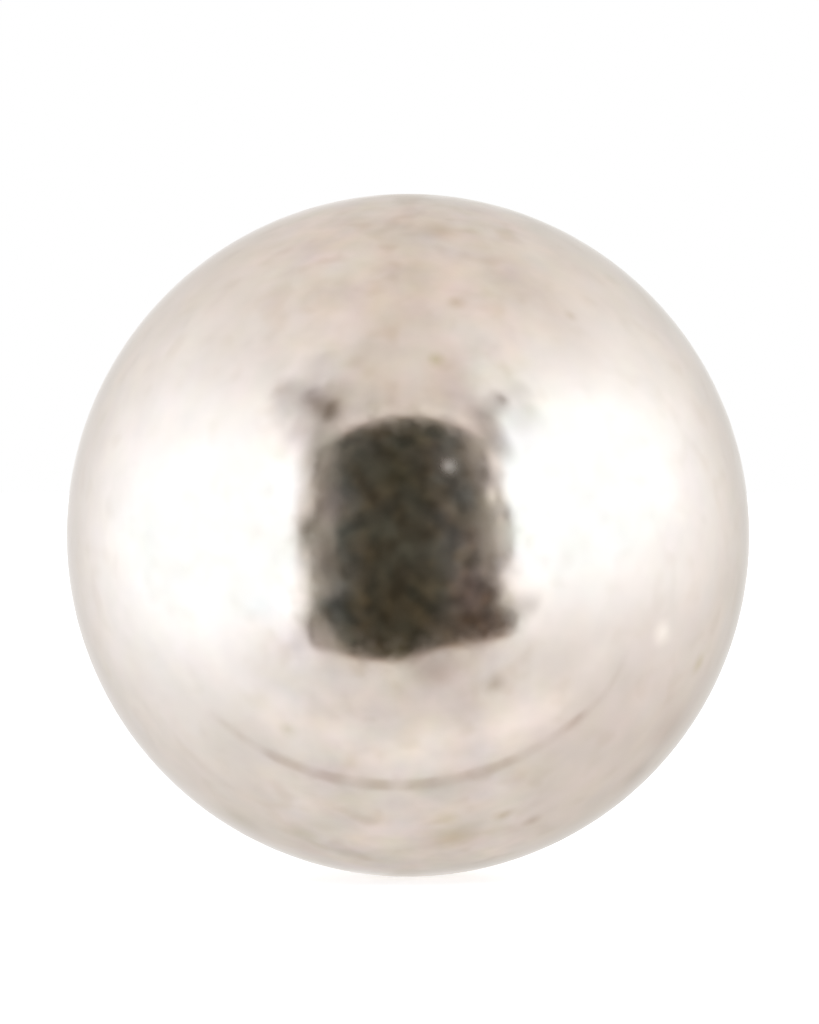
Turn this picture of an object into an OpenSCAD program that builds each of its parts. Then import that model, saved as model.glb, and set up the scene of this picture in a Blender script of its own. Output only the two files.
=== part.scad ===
// Polished steel ball: one solid ball of hardened steel, ground and lapped to a true sphere.
// Units are millimetres. The origin is the centre of the ball and +Z points up, away from
// the seat that the ball rests in.

/* [Ball] */
// Diameter of the ball, the same in every direction
ball_d = 25.4; // [3:0.1:75]

/* [Preview] */
// Facets round the ball's widest circle when it is drawn as a mesh
ball_facets = 240; // [24:12:360]

/* [Hidden] */

// A bright steel with a slightly warm tone
steel_colour = [0.84, 0.80, 0.76];

// The whole ball. It is solid throughout: no flat, hole, seam or plug breaks its surface.
module ball() {
    color(steel_colour)
        sphere(d = ball_d, $fn = ball_facets);
}

ball();
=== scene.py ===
import math

import bpy
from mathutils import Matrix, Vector, noise


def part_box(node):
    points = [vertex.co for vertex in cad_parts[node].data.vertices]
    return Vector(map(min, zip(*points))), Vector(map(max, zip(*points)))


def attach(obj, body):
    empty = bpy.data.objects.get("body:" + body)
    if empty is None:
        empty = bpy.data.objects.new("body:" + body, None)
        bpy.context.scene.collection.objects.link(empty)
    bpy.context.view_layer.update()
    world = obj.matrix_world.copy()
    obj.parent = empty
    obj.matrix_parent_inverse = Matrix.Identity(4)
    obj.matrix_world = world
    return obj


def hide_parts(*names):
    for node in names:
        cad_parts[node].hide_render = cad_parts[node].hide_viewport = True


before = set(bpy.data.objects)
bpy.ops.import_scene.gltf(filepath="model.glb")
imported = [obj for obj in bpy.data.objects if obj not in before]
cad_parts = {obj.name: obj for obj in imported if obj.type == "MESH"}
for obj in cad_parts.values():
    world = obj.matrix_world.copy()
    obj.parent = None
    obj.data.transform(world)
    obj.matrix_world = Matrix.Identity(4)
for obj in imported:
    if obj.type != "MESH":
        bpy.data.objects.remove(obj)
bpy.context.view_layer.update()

# ---- Driving dimensions: metres, in the frame's own axes ----

BALL_LOW, BALL_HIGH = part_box("ball")
CENTRE = (BALL_LOW + BALL_HIGH) / 2
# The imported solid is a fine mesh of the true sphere, so its narrowest side keeps the skin inside it.
RADIUS = min(BALL_HIGH - BALL_LOW) / 2
FLOOR_Z = BALL_LOW.z
STEEL_BODY = "root"

# ---- The picture: the ball's place in the photograph's frame ----

PICTURE_WIDE, PICTURE_HIGH = 819, 1024
BALL_PX = Vector((408.0, 535.3))
BALL_RADIUS_PX = 341.5
CAMERA_ELEVATION = math.radians(1.2)
CAMERA_DISTANCE = 24 * RADIUS
CAMERA_NEAR, CAMERA_FAR = CAMERA_DISTANCE / 10, CAMERA_DISTANCE * 20

# The picture's own axes: to the right, up, and back towards the camera.
RIGHTWARD = Vector((1, 0, 0))
BACKWARD = Vector((0, -math.cos(CAMERA_ELEVATION), math.sin(CAMERA_ELEVATION)))
UPWARD = BACKWARD.cross(RIGHTWARD)

# ---- The ball's skin ----

SKIN_GRID = 96  # quads along each edge of the cube that the sphere is made from
# The skin has slow waves, deeper than a good ball's, so that what it mirrors wavers a little.
WAVE_DEPTH = 3e-6
WAVE_WIDTH = 2.4e-3  # how far apart they are

# ---- The steel ----

# The colour takes the photograph's cloth as white, so some of its warmth may be the light's.
STEEL = (0.680, 0.600, 0.530)
# Near its outline it mirrors this much of what a plain metal does. The value is not measured.
EDGE_TINT = (0.76, 0.76, 0.76)
POLISH_ROUGHNESS, HAZE_ROUGHNESS = 0.10, 0.17
BUMP_STRENGTH, BUMP_DEPTH = 0.1, 2e-5

# The film on the steel. A scale is the noise's cells in a metre, and a spread is the two levels of
# the noise between which a thing goes from none to full.
CLOUD_SCALE, CLOUD_LOW, CLOUD_SPAN = 480.0, 0.76, 0.48
HUE_SCALE, HUE_LOW, HUE_SPAN = 700.0, (0.94, 0.975, 0.915), (0.12, 0.05, 0.17)
STAIN_SCALE, STAIN_SPREAD = 760.0, (0.52, 0.80)
CLEAN_SHADE, STAIN_SHADE = (1.01, 1.01, 1.01), (0.91, 0.89, 0.85)
SCUFF_SCALE, SCUFF_SPREAD = 1500.0, (0.35, 0.80)

# The film is thinner at the ball's left and right, where it would speckle the front's highlights:
# from where to where, in radii, and by how much.
THIN_LEFT, THIN_RIGHT = (-0.22, -0.52), (0.22, 0.50)
THIN_SHARE, BARE_SHADE = 0.60, (0.995, 0.995, 0.995)

# Marks on the side that faces the camera, each at a pixel of the picture: spots where the steel is
# darker or lighter, some rougher like a pit. One is a painted highlight, and two near the lower right
# limb are painted shade.
MARKS = {
    "glint": {"px": (447, 468), "wide": 0.90e-3, "shade": (1.00, 1.00, 1.00), "rough": 0.48},
    "dark_fleck": {"px": (492, 678), "wide": 0.75e-3, "shade": (0.72, 0.68, 0.62), "rough": 0.20},
    # Painted highlight: this mark lightens the steel's colour past its own, for a bright dot.
    "painted_highlight": {"px": (656, 630), "wide": 0.82e-3, "shade": (1.24, 1.26, 1.24)},
    "right_stain": {"px": (694, 661), "wide": 0.75e-3, "shade": (0.88, 0.87, 0.76)},
    "arch_stain": {"px": (435, 365), "wide": 0.60e-3, "shade": (0.80, 0.81, 0.68)},
    "upper_stain": {"px": (455, 308), "wide": 0.60e-3, "shade": (0.85, 0.81, 0.74)},
    "crown_stain": {"px": (440, 236), "wide": 1.10e-3, "shade": (0.85, 0.81, 0.74)},
    "shoulder_ring": {"px": (567, 321), "wide": 0.50e-3, "shade": (0.90, 0.88, 0.84)},
    "foot_fleck": {"px": (530, 815), "wide": 0.65e-3, "shade": (0.80, 0.77, 0.74)},
    "foot_stain": {"px": (500, 809), "wide": 0.65e-3, "shade": (0.84, 0.80, 0.72)},
    "foot_smear": {"px": (452, 832), "wide": 1.60e-3, "shade": (0.80, 0.76, 0.66)},
    "low_stain": {"px": (447, 812), "wide": 0.80e-3, "shade": (0.86, 0.84, 0.76)},
    "left_fleck": {"px": (292, 723), "wide": 0.70e-3, "shade": (0.90, 0.90, 0.84)},
    # Painted shade: these two darken the steel's colour where what it mirrors near the lower right limb
    # is darker.
    "painted_shade_right": {"px": (666, 727), "wide": 2.00e-3, "shade": (0.82, 0.80, 0.79)},
    "painted_shade_low_right": {"px": (634, 770), "wide": 1.50e-3, "shade": (0.86, 0.84, 0.83)},
    "left_heel": {"px": (240, 815), "wide": 1.60e-3, "shade": (0.87, 0.86, 0.81)},
    "left_foot": {"px": (300, 827), "wide": 1.10e-3, "shade": (0.86, 0.85, 0.80)},
}
MARK_RAGGED = 2e-4  # how far in from its full width a mark's edge wanders

# ---- The studio: a white tent lit from both sides, open in front ----

# A program fitted the tent's colours, the lamps, the first floor glow, the shade under the sill and
# the room's middle colour to the photograph. They are rounded, and a few were then changed.

# What the tent's six sides give when no lamp is near: 1 is white.
TENT_LEFT, TENT_RIGHT = (0.97, 1.02, 1.06), (0.84, 0.76, 0.74)
TENT_FRONT, TENT_BACK = (0.94, 0.915, 0.91), (1.00, 0.96, 0.91)
TENT_TOP, TENT_FLOOR = (0.975, 0.935, 0.915), (0.985, 0.985, 1.005)

# The glow of each lamp on the cloth. Its place is in radians: turn from the front, and height, and so
# are its reaches to the front and back, and up and down. It ends beside the opening in front, at edge
# and over soft to each side of it, on the plane one unit in front of the ball.
LEFT_LAMP = {
    "turn": 0.90, "height": -0.02, "front": 0.90, "back": 1.55, "up": 0.77, "down": 0.61,
    "colour": (0.91, 1.03, 1.23), "edge": 0.74, "soft": 0.15,
}
RIGHT_LAMP = {
    "turn": 0.90, "height": 0.30, "front": 0.90, "back": 1.40, "up": 0.56, "down": 0.73,
    "colour": (1.07, 1.36, 1.60), "edge": 0.64, "soft": 0.17,
}
# The cloth over a lamp is evenly bright, at about the level where this warm steel reaches white.
LAMP_CEILING = (1.525, 1.715, 1.89)

# Brighter patches of the floor, on the plane one unit below the ball: centre, half-sizes, strength.
FLOOR_GLOWS = (
    ((0.21, -0.27), (2.60, 0.33), 0.165),
    ((0.72, -0.34), (0.45, 0.85), 0.17),
    ((-0.40, 0.30), (0.30, 0.42), 0.11),
)

# The front's things fade in where a direction's y goes from the first to the second, and the floor's
# where its z does. No direction's part is taken as less than LEAST before others are divided by it.
TOWARDS = (-0.1, -0.3)
LEAST = 0.02

LIGHT_MAP_SIZE = 256  # the light is broad and soft, so a small map of it is enough to aim by

# All that follows, down to the stand, is on the plane one unit in front of the ball: across and up.

# The shade on the cloth under the opening's sill.
SILL_SHADE_AT, SILL_SHADE_HALF, SILL_SHADE = (0.20, -1.01), (0.27, 0.365), (0.73, 0.695, 0.675)

# Folds of the front cloth at the opening's corners: from, to, half-width, strength.
FOLD_SHADE = (0.175, 0.135, 0.10)
FOLDS = (
    ((-0.665, 1.13), (-0.64, 1.00), 0.18, 0.92),
    ((-0.74, 1.12), (-1.02, 1.46), 0.28, 0.76),
    ((-1.09, 1.54), (-1.72, 2.04), 0.34, 0.42),
    ((-0.73, 1.00), (-0.69, 0.62), 0.21, 0.44),
    ((0.865, 1.28), (0.90, 1.34), 0.18, 0.85),
    ((0.84, 1.24), (0.64, 0.98), 0.22, 0.56),
    ((0.64, 0.98), (0.67, 0.70), 0.25, 0.68),
    ((0.95, 1.38), (1.40, 1.80), 0.30, 0.22),
    ((0.78, -0.50), (0.98, -0.53), 0.18, 0.36),
    ((0.90, 1.00), (1.25, 1.35), 0.35, 0.22),
    ((0.12, 1.21), (0.80, 1.19), 0.10, 0.13),
    ((-0.64, 1.32), (-0.80, 1.60), 0.25, 0.22),
    ((-0.92, 0.94), (-1.02, 1.55), 0.24, 0.36),
    ((-1.06, 1.75), (-1.22, 2.55), 0.50, 0.26),
    ((-1.45, 1.62), (-1.15, 1.30), 0.36, 0.32),
    ((-0.70, -0.80), (-0.82, -0.62), 0.14, 0.40),
    ((-0.95, -0.93), (-0.87, -0.80), 0.14, 0.26),
)

# The opening: an arch over a sill with a step in it.
ARCH_TOP, ARCH_DROP, ARCH_SOFT = 0.870, 0.52, 0.035
SILL, SILL_SOFT = -0.86, 0.06
SILL_STEP, SILL_STEP_FROM, SILL_STEP_TO = 0.12, -0.1, 0.25

# The opening's sides: where each stands, and how far it stands out at some heights. A bulge is from,
# to, softness and how far; a step is where it starts, where it is full and how far.
# A thin veil hangs inside the veil's edges, and the dark room shows inside the dark's.
VEIL_LEFT = {"at": -0.675, "bulges": ((-0.20, 0.36, 0.08, 0.075),), "steps": ((-0.48, -0.62, 0.10),)}
VEIL_RIGHT = {"at": 0.62, "bulges": ((-0.18, 0.24, 0.10, 0.075),), "steps": ((-0.42, -0.58, 0.22),)}
DARK_LEFT = {"at": -0.455, "bulges": ((-0.60, -0.40, 0.08, 0.16),), "steps": ((0.15, 0.45, 0.05),)}
DARK_RIGHT = {"at": 0.455, "bulges": (), "steps": ((-0.18, -0.36, 0.13), (-0.45, -0.60, 0.21))}
VEIL_SOFT, VEIL_RAGGED = 0.05, 0.14
DARK_SOFT, DARK_RAGGED = 0.10, 0.24

# The veil's threads hang down, so their noise is stretched that way. Its scale is cells in a unit.
THREAD_STRETCH, THREAD_SCALE, THREAD_SPREAD = (2.0, 0.6, 1.0), 5.5, (0.36, 0.66)
VEIL_SHADE, VEIL_PALE = (0.25, 0.235, 0.215), (0.53, 0.51, 0.48)
VEIL_LIGHT = (1.15, 1.15, 1.15)

# Where the veil is torn and lets the lamp through: centre, half-sizes.
TEARS = (
    ((-0.70, 0.25), (0.10, 0.20)),
    ((-0.68, -0.16), (0.09, 0.22)),
    ((0.60, 0.04), (0.08, 0.24)),
    ((0.68, -0.26), (0.10, 0.16)),
    ((0.55, 0.28), (0.06, 0.15)),
    ((0.61, 0.53), (0.10, 0.22)),
)

# The cloth's rim above the arch is a little brighter: from, to, softness, its ends and by how much.
RIM_FROM, RIM_TO, RIM_SOFT, RIM_ENDS, RIM_GLOW = 0.03, 0.15, 0.035, (0.60, 0.35), 0.13
HEM_TINT = (0.92, 0.78, 0.68)  # where the arch and the sill meet the dark room

# The dark room: its colour in the middle, to the left and to the right.
ROOM, ROOM_LEFT, ROOM_RIGHT = (0.079, 0.075, 0.056), (0.145, 0.153, 0.144), (0.154, 0.147, 0.137)
ROOM_MIDDLE, ROOM_DEEP = -0.07, (0.12, 0.45)  # how far from the middle its sides start and are full
ROOM_TURN = (-0.2, 0.2)  # where the left side's colour turns into the right side's
ROOM_LOW, LOW_FROM = (0.86, 0.82, 0.75), (-0.22, -0.45)  # its lower part is darker
ROOM_RUST, RUST_ACROSS, RUST_DOWN = (1.12, 0.93, 0.88), (0.20, 0.40), (-0.05, -0.30)

# Two tints drift over the dark room, and so do patches of clutter that are lighter and darker.
ROOM_BROWN, ROOM_SLATE = (1.05, 0.985, 0.91), (0.93, 1.01, 1.10)
DRIFT_SCALE, DRIFT_SPREAD = 6.0, (0.38, 0.62)
CLUTTER_SCALE, CLUTTER_SPREAD, CLUTTER_LOW, CLUTTER_SPAN = 8.5, (0.35, 0.70), 0.60, 0.95

# The low stand that the ball is on, as the steel mirrors it. Its front edge is an arc on the floor,
# which is faint over a stretch and has a gap. At the right it bends forward and trails off.
STAND_RADIUS = 6.3 * RADIUS
STAND_FRONT = 0.725 * RADIUS
STAND_ASIDE = 0.35 * RADIUS
STAND_POINTS = 512
STAND_TOP, STAND_EDGE = (0.990, 0.990, 0.990), (0.75, 0.705, 0.67)
EDGE_HALF = 0.044 * RADIUS
EDGE_LEFT_END = (-1.20 * RADIUS, -0.70 * RADIUS)
EDGE_RIGHT_END = (1.15 * RADIUS, 0.95 * RADIUS)
BEND_OVER, BEND_BY = (1.20 * RADIUS, 2.00 * RADIUS), 0.15 * RADIUS
TRAIL_END, TRAIL_SHARE = (2.10 * RADIUS, 1.50 * RADIUS), 0.34
FAINT_FROM, FAINT_TO, FAINT_SOFT, FAINT_BY = 0.48 * RADIUS, 0.82 * RADIUS, 0.06 * RADIUS, 0.55
GAP_AT, GAP_HALF, GAP_LEFT = -0.04 * RADIUS, 0.06 * RADIUS, 0.45
WEAR_SCALE, WEAR_SPREAD, WEAR_LEFT = 260.0, (0.3, 0.6), 0.30

FLOOR_HALF = 60 * RADIUS
FLOOR_COLOUR = (0.9, 0.9, 0.9)
FLOOR_WHITE = 0.54  # what the floor's own light adds for the camera, so that it shows as white

WHITE = (1.0, 1.0, 1.0)


class Nodes:
    """Builds one node tree from plain calls. A value is a number, a tuple or another node's output."""

    def __init__(self, tree):
        self.tree = tree
        tree.nodes.clear()

    def add(self, kind, inputs=None, output=0, **settings):
        node = self.tree.nodes.new(kind)
        for name, value in settings.items():
            setattr(node, name, value)
        for key, value in (inputs or {}).items():
            self.put(node.inputs[key], value)
        return node.outputs[output]

    def put(self, socket, value):
        if isinstance(value, bpy.types.NodeSocket):
            self.tree.links.new(value, socket)
        elif socket.type == "RGBA":
            socket.default_value = (*value, 1.0)
        else:
            socket.default_value = value

    def surface(self, kind, shader):
        """Ends the tree: shader is what the output node of this kind shows."""
        self.put(self.tree.nodes.new(kind).inputs["Surface"], shader)

    def math(self, operation, *values):
        return self.add("ShaderNodeMath", dict(enumerate(values)), operation=operation)

    def plus(self, a, b):
        return self.math("ADD", a, b)

    def minus(self, a, b):
        return self.math("SUBTRACT", a, b)

    def times(self, a, b):
        return self.math("MULTIPLY", a, b)

    def over(self, a, b):
        return self.math("DIVIDE", a, b)

    def larger(self, a, b):
        return self.math("MAXIMUM", a, b)

    def absolute(self, a):
        return self.math("ABSOLUTE", a)

    def squares(self, a, b):
        """a squared plus b squared."""
        return self.plus(self.times(a, a), self.times(b, b))

    def vector(self, operation, *values, output=0):
        """Vector maths. The last value of SCALE is a number."""
        inputs = dict(enumerate(values))
        if operation == "SCALE":
            inputs = {0: values[0], "Scale": values[1]}
        return self.add("ShaderNodeVectorMath", inputs, output=output, operation=operation)

    def ramp(self, value, zero_at, one_at):
        """0 where value is zero_at, 1 where it is one_at, and smooth between."""
        inputs = {0: value, 1: zero_at, 2: one_at}
        return self.add("ShaderNodeMapRange", inputs, interpolation_type="SMOOTHSTEP")

    def mix(self, factor, a, b):
        """Colour a where factor is 0, colour b where it is 1."""
        # The node has sockets for numbers and vectors too: its colours are inputs 6 and 7, and output 2.
        return self.add("ShaderNodeMix", {0: factor, 6: a, 7: b}, output=2, data_type="RGBA")

    def scaled(self, colour, level):
        return self.vector("SCALE", colour, level)

    def tinted(self, colour, tint):
        return self.vector("MULTIPLY", colour, tint)

    def split(self, vector):
        parts = self.tree.nodes.new("ShaderNodeSeparateXYZ")
        self.put(parts.inputs[0], vector)
        return tuple(parts.outputs)

    def join(self, x, y, z):
        return self.add("ShaderNodeCombineXYZ", {0: x, 1: y, 2: z})

    def noise(self, vector, scale, detail=1.0, output="Fac"):
        """A cloudy value round 0.5."""
        inputs = {"Vector": vector, "Scale": scale, "Detail": detail}
        return self.add("ShaderNodeTexNoise", inputs, output=output)


def new_material(name):
    material = bpy.data.materials.new(name)
    material.use_nodes = True
    return material, Nodes(material.node_tree)


def new_object(name, points, faces, material):
    mesh = bpy.data.meshes.new(name)
    mesh.from_pydata(points, [], faces)
    mesh.materials.append(material)
    made = bpy.data.objects.new(name, mesh)
    bpy.context.collection.objects.link(made)
    return made


# ---- The ball ----

def warped(step):
    """A grid step across a cube's face, moved so that the sphere's quads come out even."""
    return math.tan((2 * step / SKIN_GRID - 1) * math.pi / 4)


def skin_point(key):
    """The point of the skin for a whole-number point on the cube's surface."""
    outward = Vector([warped(step) for step in key]).normalized()
    wave = noise.noise(outward * (RADIUS / WAVE_WIDTH))
    return CENTRE + outward * (RADIUS - WAVE_DEPTH * (1 + wave) / 2)


def cube_face_quads():
    """The quads of the cube's six faces, each as four whole-number points that run anticlockwise."""
    for axis in range(3):
        for level in (0, SKIN_GRID):
            for i in range(SKIN_GRID):
                for j in range(SKIN_GRID):
                    corners = [(i, j), (i + 1, j), (i + 1, j + 1), (i, j + 1)]
                    if level == 0:
                        corners.reverse()
                    quad = []
                    for a, b in corners:
                        key = [0, 0, 0]
                        key[axis] = level
                        key[(axis + 1) % 3] = a
                        key[(axis + 2) % 3] = b
                        quad.append(tuple(key))
                    yield quad


def make_ball():
    """The ball's skin: a cube's grid drawn out to a sphere, with slow waves in it."""
    numbers = {}
    faces = []
    for quad in cube_face_quads():
        faces.append([numbers.setdefault(key, len(numbers)) for key in quad])
    ball = new_object("steel_ball", [skin_point(key) for key in numbers], faces, steel())
    ball.data.polygons.foreach_set("use_smooth", [True] * len(faces))
    ball.data.update()
    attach(ball, STEEL_BODY)
    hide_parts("ball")


def seen_at(px):
    """The point of the ball's surface that a pixel of the picture shows."""
    across = RIGHTWARD * (px[0] - BALL_PX.x) / BALL_RADIUS_PX
    up = UPWARD * (BALL_PX.y - px[1]) / BALL_RADIUS_PX
    flat = across + up
    return CENTRE + (flat + BACKWARD * math.sqrt(1 - flat.length_squared)) * RADIUS


def film_colour(n, place, cloud):
    """What the film takes from the steel's colour: lighter and darker patches, each a little pinker,
    yellower or greyer, and small stains."""
    hue = n.noise(place, HUE_SCALE, output="Color")
    film = n.vector("MULTIPLY_ADD", hue, HUE_SPAN, HUE_LOW)
    film = n.scaled(film, n.plus(CLOUD_LOW, n.times(cloud, CLOUD_SPAN)))
    stain = n.ramp(n.noise(place, STAIN_SCALE), *STAIN_SPREAD)
    film = n.tinted(film, n.mix(stain, CLEAN_SHADE, STAIN_SHADE))
    x = n.over(n.split(place)[0], RADIUS)
    thin = n.larger(n.ramp(x, *THIN_LEFT), n.ramp(x, *THIN_RIGHT))
    return n.mix(n.times(thin, THIN_SHARE), film, BARE_SHADE)


def steel():
    """Polished steel with a warm tone, a thin film, patches of fine scuffs and a few marks."""
    material, n = new_material("polished_steel")
    place = n.add("ShaderNodeTexCoord", output="Object")
    cloud = n.noise(place, CLOUD_SCALE, detail=2.5)
    tone = n.tinted(film_colour(n, place, cloud), STEEL)

    patch = n.noise(place, SCUFF_SCALE, detail=1.5)
    scuffs = n.times(n.ramp(patch, *SCUFF_SPREAD), HAZE_ROUGHNESS - POLISH_ROUGHNESS)
    rough = n.plus(POLISH_ROUGHNESS, scuffs)

    for mark in MARKS.values():
        far = n.vector("DISTANCE", place, tuple(seen_at(mark["px"])), output="Value")
        spot = n.ramp(n.plus(far, n.times(patch, MARK_RAGGED)), mark["wide"], 0.0)
        # A mark tints the steel's colour; for the painted highlight and the two painted shade marks this
        # is painted light.
        tone = n.mix(spot, tone, n.tinted(tone, mark["shade"]))
        if "rough" in mark:
            more = mark["rough"] - POLISH_ROUGHNESS
            rough = n.plus(rough, n.times(n.times(spot, spot), more))

    relief = {"Strength": BUMP_STRENGTH, "Distance": BUMP_DEPTH, "Height": cloud}
    shader = n.add("ShaderNodeBsdfPrincipled", {
        "Base Color": tone,
        "Metallic": 1.0,
        "Roughness": rough,
        "Specular Tint": EDGE_TINT,
        "Normal": n.add("ShaderNodeBump", relief),
    })
    n.surface("ShaderNodeOutputMaterial", shader)
    return material


# ---- The tent ----

def side_colour(n, value, below, above):
    """Colour below where value is under 0, and above where it is over 0."""
    return n.mix(n.math("GREATER_THAN", value, 0.0), below, above)


def reach(n, offset, below, above):
    """How far offset goes, in units of below on its negative side and above on its positive side."""
    unit = n.plus(below, n.times(n.math("GREATER_THAN", offset, 0.0), above - below))
    return n.over(offset, unit)


def between(n, value, low, high, soft):
    """1 where value is between low and high, fading to 0 across each."""
    return n.times(n.ramp(n.minus(value, low), -soft, soft), n.ramp(n.minus(high, value), -soft, soft))


def oval(n, x, y, centre, half):
    """1 at centre, fading to 0 at the edge of an oval with these two half-sizes."""
    across = n.over(n.minus(x, centre[0]), half[0])
    up = n.over(n.minus(y, centre[1]), half[1])
    return n.ramp(n.math("SQRT", n.squares(across, up)), 1.0, 0.0)


def streak(n, spot, start, end, wide):
    """1 along the line from start to end on the front plane, fading to 0 at wide from it."""
    start, end = Vector((*start, 0)), Vector((*end, 0))
    line = end - start
    offset = n.vector("SUBTRACT", spot, tuple(start))
    along = n.vector("DOT_PRODUCT", offset, tuple(line / line.length_squared), output="Value")
    along = n.math("MINIMUM", n.larger(along, 0.0), 1.0)
    far = n.vector("DISTANCE", offset, n.scaled(tuple(line), along), output="Value")
    return n.ramp(far, wide, 0.0)


def lamp_glow(n, turn, height, across, lamp):
    """A lamp's glow on the cloth at these angles. It ends beside the opening."""
    aside = reach(n, n.minus(turn, lamp["turn"]), lamp["front"], lamp["back"])
    up = reach(n, n.minus(height, lamp["height"]), lamp["down"], lamp["up"])
    glow = n.math("EXPONENT", n.times(n.squares(aside, up), -1.0))
    cloth = n.ramp(across, lamp["edge"] - lamp["soft"], lamp["edge"] + lamp["soft"])
    return n.scaled(lamp["colour"], n.times(glow, cloth))


def cloth_and_lamps(n, way, u):
    """The light of the tent's six sides, with the lamps' glow on them."""
    x, y, z = n.split(way)
    x_share, y_share, z_share = n.split(n.tinted(way, way))
    sides = n.scaled(side_colour(n, x, TENT_LEFT, TENT_RIGHT), x_share)
    ends = n.scaled(side_colour(n, y, TENT_FRONT, TENT_BACK), y_share)
    caps = n.scaled(side_colour(n, z, TENT_FLOOR, TENT_TOP), z_share)
    light = n.vector("ADD", n.vector("ADD", sides, ends), caps)

    turn = n.math("ARCTAN2", n.absolute(x), n.times(y, -1.0))
    height = n.math("ARCSINE", z)
    light = n.vector("ADD", light, lamp_glow(n, turn, height, n.times(u, -1.0), LEFT_LAMP))
    light = n.vector("ADD", light, lamp_glow(n, turn, height, u, RIGHT_LAMP))
    return n.vector("MINIMUM", light, LAMP_CEILING)


def floor_glow(n, way):
    """How much brighter the floor's patches are: 1 where there is none."""
    x, y, z = n.split(way)
    down = n.larger(n.times(z, -1.0), LEAST)
    glow = 1.0
    for centre, half, strength in FLOOR_GLOWS:
        patch = oval(n, n.over(x, down), n.over(y, down), centre, half)
        glow = n.plus(glow, n.times(n.times(patch, n.ramp(z, *TOWARDS)), strength))
    return glow


def stands_out(n, v, side):
    """How far one side of the opening stands out at the height v."""
    out = 0.0
    for low, high, soft, far in side["bulges"]:
        out = n.plus(out, n.times(between(n, v, low, high, soft), far))
    for start, full, far in side["steps"]:
        out = n.plus(out, n.times(n.ramp(v, start, full), far))
    return out


def between_sides(n, edge, v, left, right, soft):
    """1 between the opening's left and right sides, fading to 0 across each."""
    low = n.minus(left["at"], stands_out(n, v, left))
    high = n.plus(right["at"], stands_out(n, v, right))
    return between(n, edge, low, high, soft)


def veil_colour(n, edge, v, thread):
    """The veil: grey threads, and the lamp's light where it is torn."""
    torn = 0.0
    for centre, half in TEARS:
        torn = n.larger(torn, oval(n, edge, v, centre, half))
    cloth = n.mix(n.ramp(thread, *THREAD_SPREAD), VEIL_SHADE, VEIL_PALE)
    return n.mix(torn, cloth, VEIL_LIGHT)


def room_colour(n, spot, u, v, edge):
    """The dark room: darkest in the middle, redder at the lower right, and cluttered."""
    sides = n.mix(n.ramp(u, *ROOM_TURN), ROOM_LEFT, ROOM_RIGHT)
    room = n.mix(n.ramp(n.absolute(n.minus(edge, ROOM_MIDDLE)), *ROOM_DEEP), ROOM, sides)
    rust = n.times(n.ramp(u, *RUST_ACROSS), n.ramp(v, *RUST_DOWN))
    room = n.tinted(room, n.mix(rust, WHITE, ROOM_RUST))
    drift = n.ramp(n.noise(spot, DRIFT_SCALE), *DRIFT_SPREAD)
    room = n.tinted(room, n.mix(drift, ROOM_BROWN, ROOM_SLATE))
    room = n.tinted(room, n.mix(n.ramp(v, *LOW_FROM), WHITE, ROOM_LOW))
    clutter = n.ramp(n.noise(spot, CLUTTER_SCALE), *CLUTTER_SPREAD)
    return n.scaled(room, n.plus(CLUTTER_LOW, n.times(clutter, CLUTTER_SPAN)))


def with_opening(n, light, spot, u, v, forward):
    """The light with the opening in the front cloth: its rim, the veil, the dark room and the hem."""
    threads = n.tinted(spot, THREAD_STRETCH)
    wave, ripple, thread = n.split(n.noise(threads, THREAD_SCALE, detail=2.0, output="Color"))
    top = n.minus(ARCH_TOP, n.times(n.times(u, u), ARCH_DROP))
    sill = n.plus(SILL, n.times(n.ramp(u, SILL_STEP_FROM, SILL_STEP_TO), SILL_STEP))
    under_arch = n.ramp(n.minus(top, v), -ARCH_SOFT, ARCH_SOFT)
    over_sill = n.ramp(n.minus(v, sill), -SILL_SOFT, SILL_SOFT)
    level = n.times(under_arch, over_sill)

    rim = between(n, n.minus(v, top), RIM_FROM, RIM_TO, RIM_SOFT)
    rim = n.times(rim, n.ramp(n.absolute(u), *RIM_ENDS))
    light = n.scaled(light, n.plus(1.0, n.times(n.times(rim, forward), RIM_GLOW)))

    edge = n.plus(u, n.times(n.minus(wave, 0.5), VEIL_RAGGED))
    veil = n.times(between_sides(n, edge, v, VEIL_LEFT, VEIL_RIGHT, VEIL_SOFT), level)
    light = n.mix(n.times(veil, forward), light, veil_colour(n, edge, v, thread))

    edge = n.plus(u, n.times(n.minus(ripple, 0.5), DARK_RAGGED))
    inside = between_sides(n, edge, v, DARK_LEFT, DARK_RIGHT, DARK_SOFT)
    dark = n.times(inside, level)
    light = n.mix(n.times(dark, forward), light, room_colour(n, spot, u, v, edge))

    # level times what it lacks of 1 is largest, a quarter, on the arch and the sill.
    hem = n.times(n.times(inside, 4.0), n.times(level, n.minus(1.0, level)))
    return n.tinted(light, n.mix(n.times(hem, forward), WHITE, HEM_TINT))


def tent(n, way):
    """The level and colour of the tent in the direction way."""
    x, y, z = n.split(way)
    front = n.larger(n.times(y, -1.0), LEAST)
    u, v = n.over(x, front), n.over(z, front)
    spot = n.join(u, v, 0.0)
    forward = n.ramp(y, *TOWARDS)

    light = n.scaled(cloth_and_lamps(n, way, u), floor_glow(n, way))
    shade = oval(n, u, v, SILL_SHADE_AT, SILL_SHADE_HALF)
    light = n.tinted(light, n.mix(shade, WHITE, SILL_SHADE))
    folds = 0.0
    for start, end, wide, strength in FOLDS:
        folds = n.larger(folds, n.times(streak(n, spot, start, end, wide), strength))
    light = n.mix(n.times(folds, forward), light, FOLD_SHADE)
    return with_opening(n, light, spot, u, v, forward)


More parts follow.
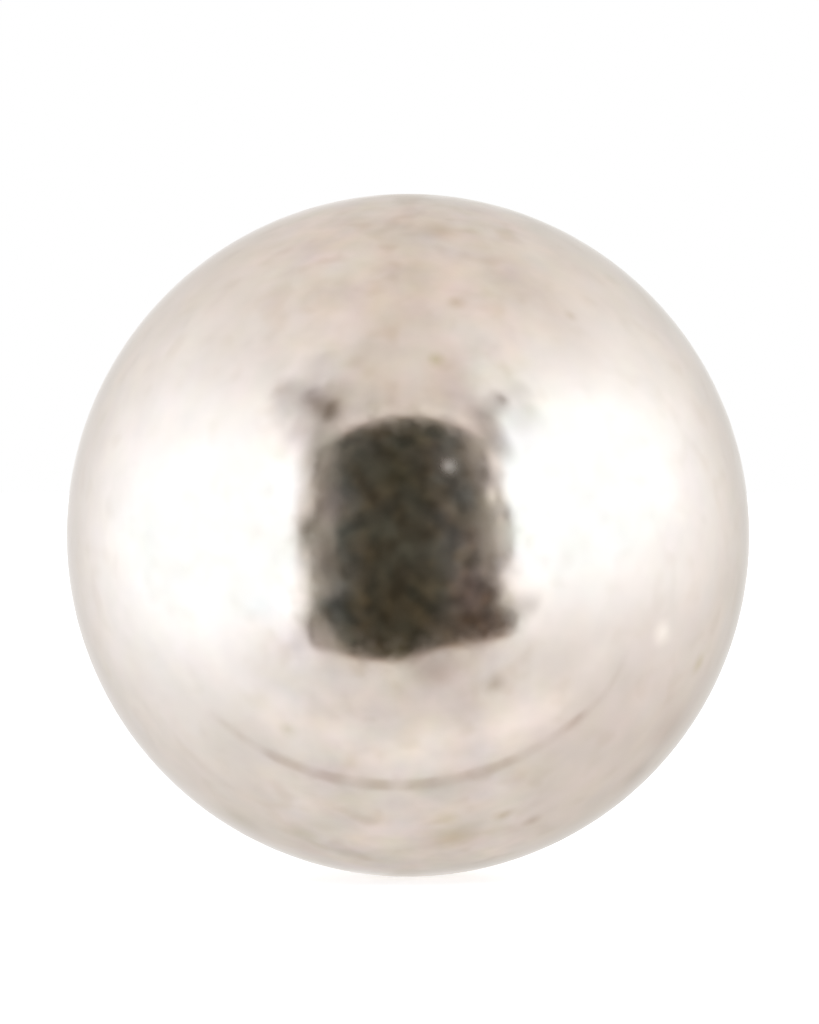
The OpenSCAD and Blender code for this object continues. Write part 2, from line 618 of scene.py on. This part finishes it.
def light_tent():
    """The world: the tent lights the ball, and the camera sees plain white past the floor."""
    world = bpy.data.worlds.new("light_tent")
    bpy.context.scene.world = world
    world.use_nodes = True
    n = Nodes(world.node_tree)
    way = n.add("ShaderNodeTexCoord", output="Generated")
    cloth = n.add("ShaderNodeBackground", {"Color": tent(n, way)})
    white = n.add("ShaderNodeBackground", {"Color": WHITE})
    seen = n.add("ShaderNodeLightPath", output="Is Camera Ray")
    n.surface("ShaderNodeOutputWorld", n.add("ShaderNodeMixShader", {0: seen, 1: cloth, 2: white}))
    world.cycles.sampling_method = "MANUAL"
    world.cycles.sample_map_resolution = LIGHT_MAP_SIZE


# ---- The stand, the floor and the camera ----

def stand_rim(middle):
    """Points round a disc that holds the stand's top and the whole of its edge, anticlockwise."""
    rim = []
    for i in range(STAND_POINTS):
        angle = 2 * math.pi * i / STAND_POINTS
        out = Vector((math.cos(angle), math.sin(angle), 0))
        rim.append(middle + out * (STAND_RADIUS + EDGE_HALF + BEND_BY))
    return rim


def edge_shown(n, place, x):
    """How much of the stand's front edge shows: it fades at both ends, and is worn."""
    trail = n.times(n.ramp(x, *TRAIL_END), TRAIL_SHARE)
    right = n.larger(n.ramp(x, *EDGE_RIGHT_END), trail)
    ends = n.times(n.ramp(x, *EDGE_LEFT_END), right)
    faint = between(n, x, FAINT_FROM, FAINT_TO, FAINT_SOFT)
    ends = n.times(ends, n.minus(1.0, n.times(faint, FAINT_BY)))
    gap = n.ramp(n.absolute(n.minus(x, GAP_AT)), 0.0, GAP_HALF)
    gap = n.plus(GAP_LEFT, n.times(gap, 1 - GAP_LEFT))
    wear = n.ramp(n.noise(place, WEAR_SCALE, detail=2.0), *WEAR_SPREAD)
    wear = n.plus(WEAR_LEFT, n.times(wear, 1 - WEAR_LEFT))
    return n.times(ends, n.times(gap, wear))


def make_stand():
    """The stand as the steel mirrors it: a clear disc, a little darker inside its dark front edge."""
    middle = Vector((STAND_ASIDE, STAND_RADIUS - STAND_FRONT, FLOOR_Z))
    material, n = new_material("stand")
    place = n.add("ShaderNodeTexCoord", output="Object")
    x = n.split(place)[0]
    far = n.vector("DISTANCE", place, tuple(middle), output="Value")
    bend = n.times(n.ramp(x, *BEND_OVER), BEND_BY)
    from_edge = n.minus(far, n.plus(bend, STAND_RADIUS))
    top = n.ramp(from_edge, EDGE_HALF / 2, -EDGE_HALF / 2)
    edge = n.ramp(n.absolute(from_edge), EDGE_HALF, EDGE_HALF / 3)
    through = n.mix(top, WHITE, STAND_TOP)
    through = n.mix(n.times(edge, edge_shown(n, place, x)), through, STAND_EDGE)
    n.surface("ShaderNodeOutputMaterial", n.add("ShaderNodeBsdfTransparent", {"Color": through}))
    stand = new_object("stand", stand_rim(middle), [tuple(range(STAND_POINTS))], material)
    stand.visible_camera = False
    stand.visible_diffuse = False
    stand.visible_shadow = False


def make_floor():
    """To the camera the floor is white, apart from the deepest part of the shadow under the ball.
    From below it is clear, so that the ball's underside can be seen."""
    material, n = new_material("white_floor")
    lit = n.add("ShaderNodeBsdfDiffuse", {"Color": FLOOR_COLOUR})
    seen = n.add("ShaderNodeLightPath", output="Is Camera Ray")
    glow = n.add("ShaderNodeEmission", {"Color": WHITE, "Strength": n.times(seen, FLOOR_WHITE)})
    shader = n.add("ShaderNodeAddShader", {0: lit, 1: glow})
    clear = n.add("ShaderNodeBsdfTransparent", {"Color": WHITE})
    under = n.add("ShaderNodeNewGeometry", output="Backfacing")
    n.surface("ShaderNodeOutputMaterial", n.add("ShaderNodeMixShader", {0: under, 1: shader, 2: clear}))
    corners = ((-FLOOR_HALF, -FLOOR_HALF), (FLOOR_HALF, -FLOOR_HALF),
               (FLOOR_HALF, FLOOR_HALF), (-FLOOR_HALF, FLOOR_HALF))
    floor = new_object("floor", [(x, y, FLOOR_Z) for x, y in corners], [(0, 1, 2, 3)], material)
    floor.visible_glossy = False


def make_camera():
    """The camera looks straight back along BACKWARD, and stands aside to put the ball where it is."""
    data = bpy.data.cameras.new("camera")
    camera = bpy.data.objects.new("camera", data)
    bpy.context.collection.objects.link(camera)
    bpy.context.scene.camera = camera
    per_px = RADIUS / BALL_RADIUS_PX
    aside = RIGHTWARD * (PICTURE_WIDE / 2 - BALL_PX.x) * per_px
    above = UPWARD * (BALL_PX.y - PICTURE_HIGH / 2) * per_px
    camera.location = CENTRE + aside + above + BACKWARD * CAMERA_DISTANCE
    camera.rotation_mode = "QUATERNION"
    camera.rotation_quaternion = (-BACKWARD).to_track_quat("-Z", "Y")
    # In a tall picture the sensor's width spans the height.
    outline = math.tan(math.asin(RADIUS / CAMERA_DISTANCE))
    data.lens = data.sensor_width / 2 * BALL_RADIUS_PX / (PICTURE_HIGH / 2) / outline
    data.clip_start = CAMERA_NEAR
    data.clip_end = CAMERA_FAR


make_camera()
light_tent()
make_floor()
make_stand()
make_ball()
bpy.context.scene.view_settings.view_transform = "Standard"
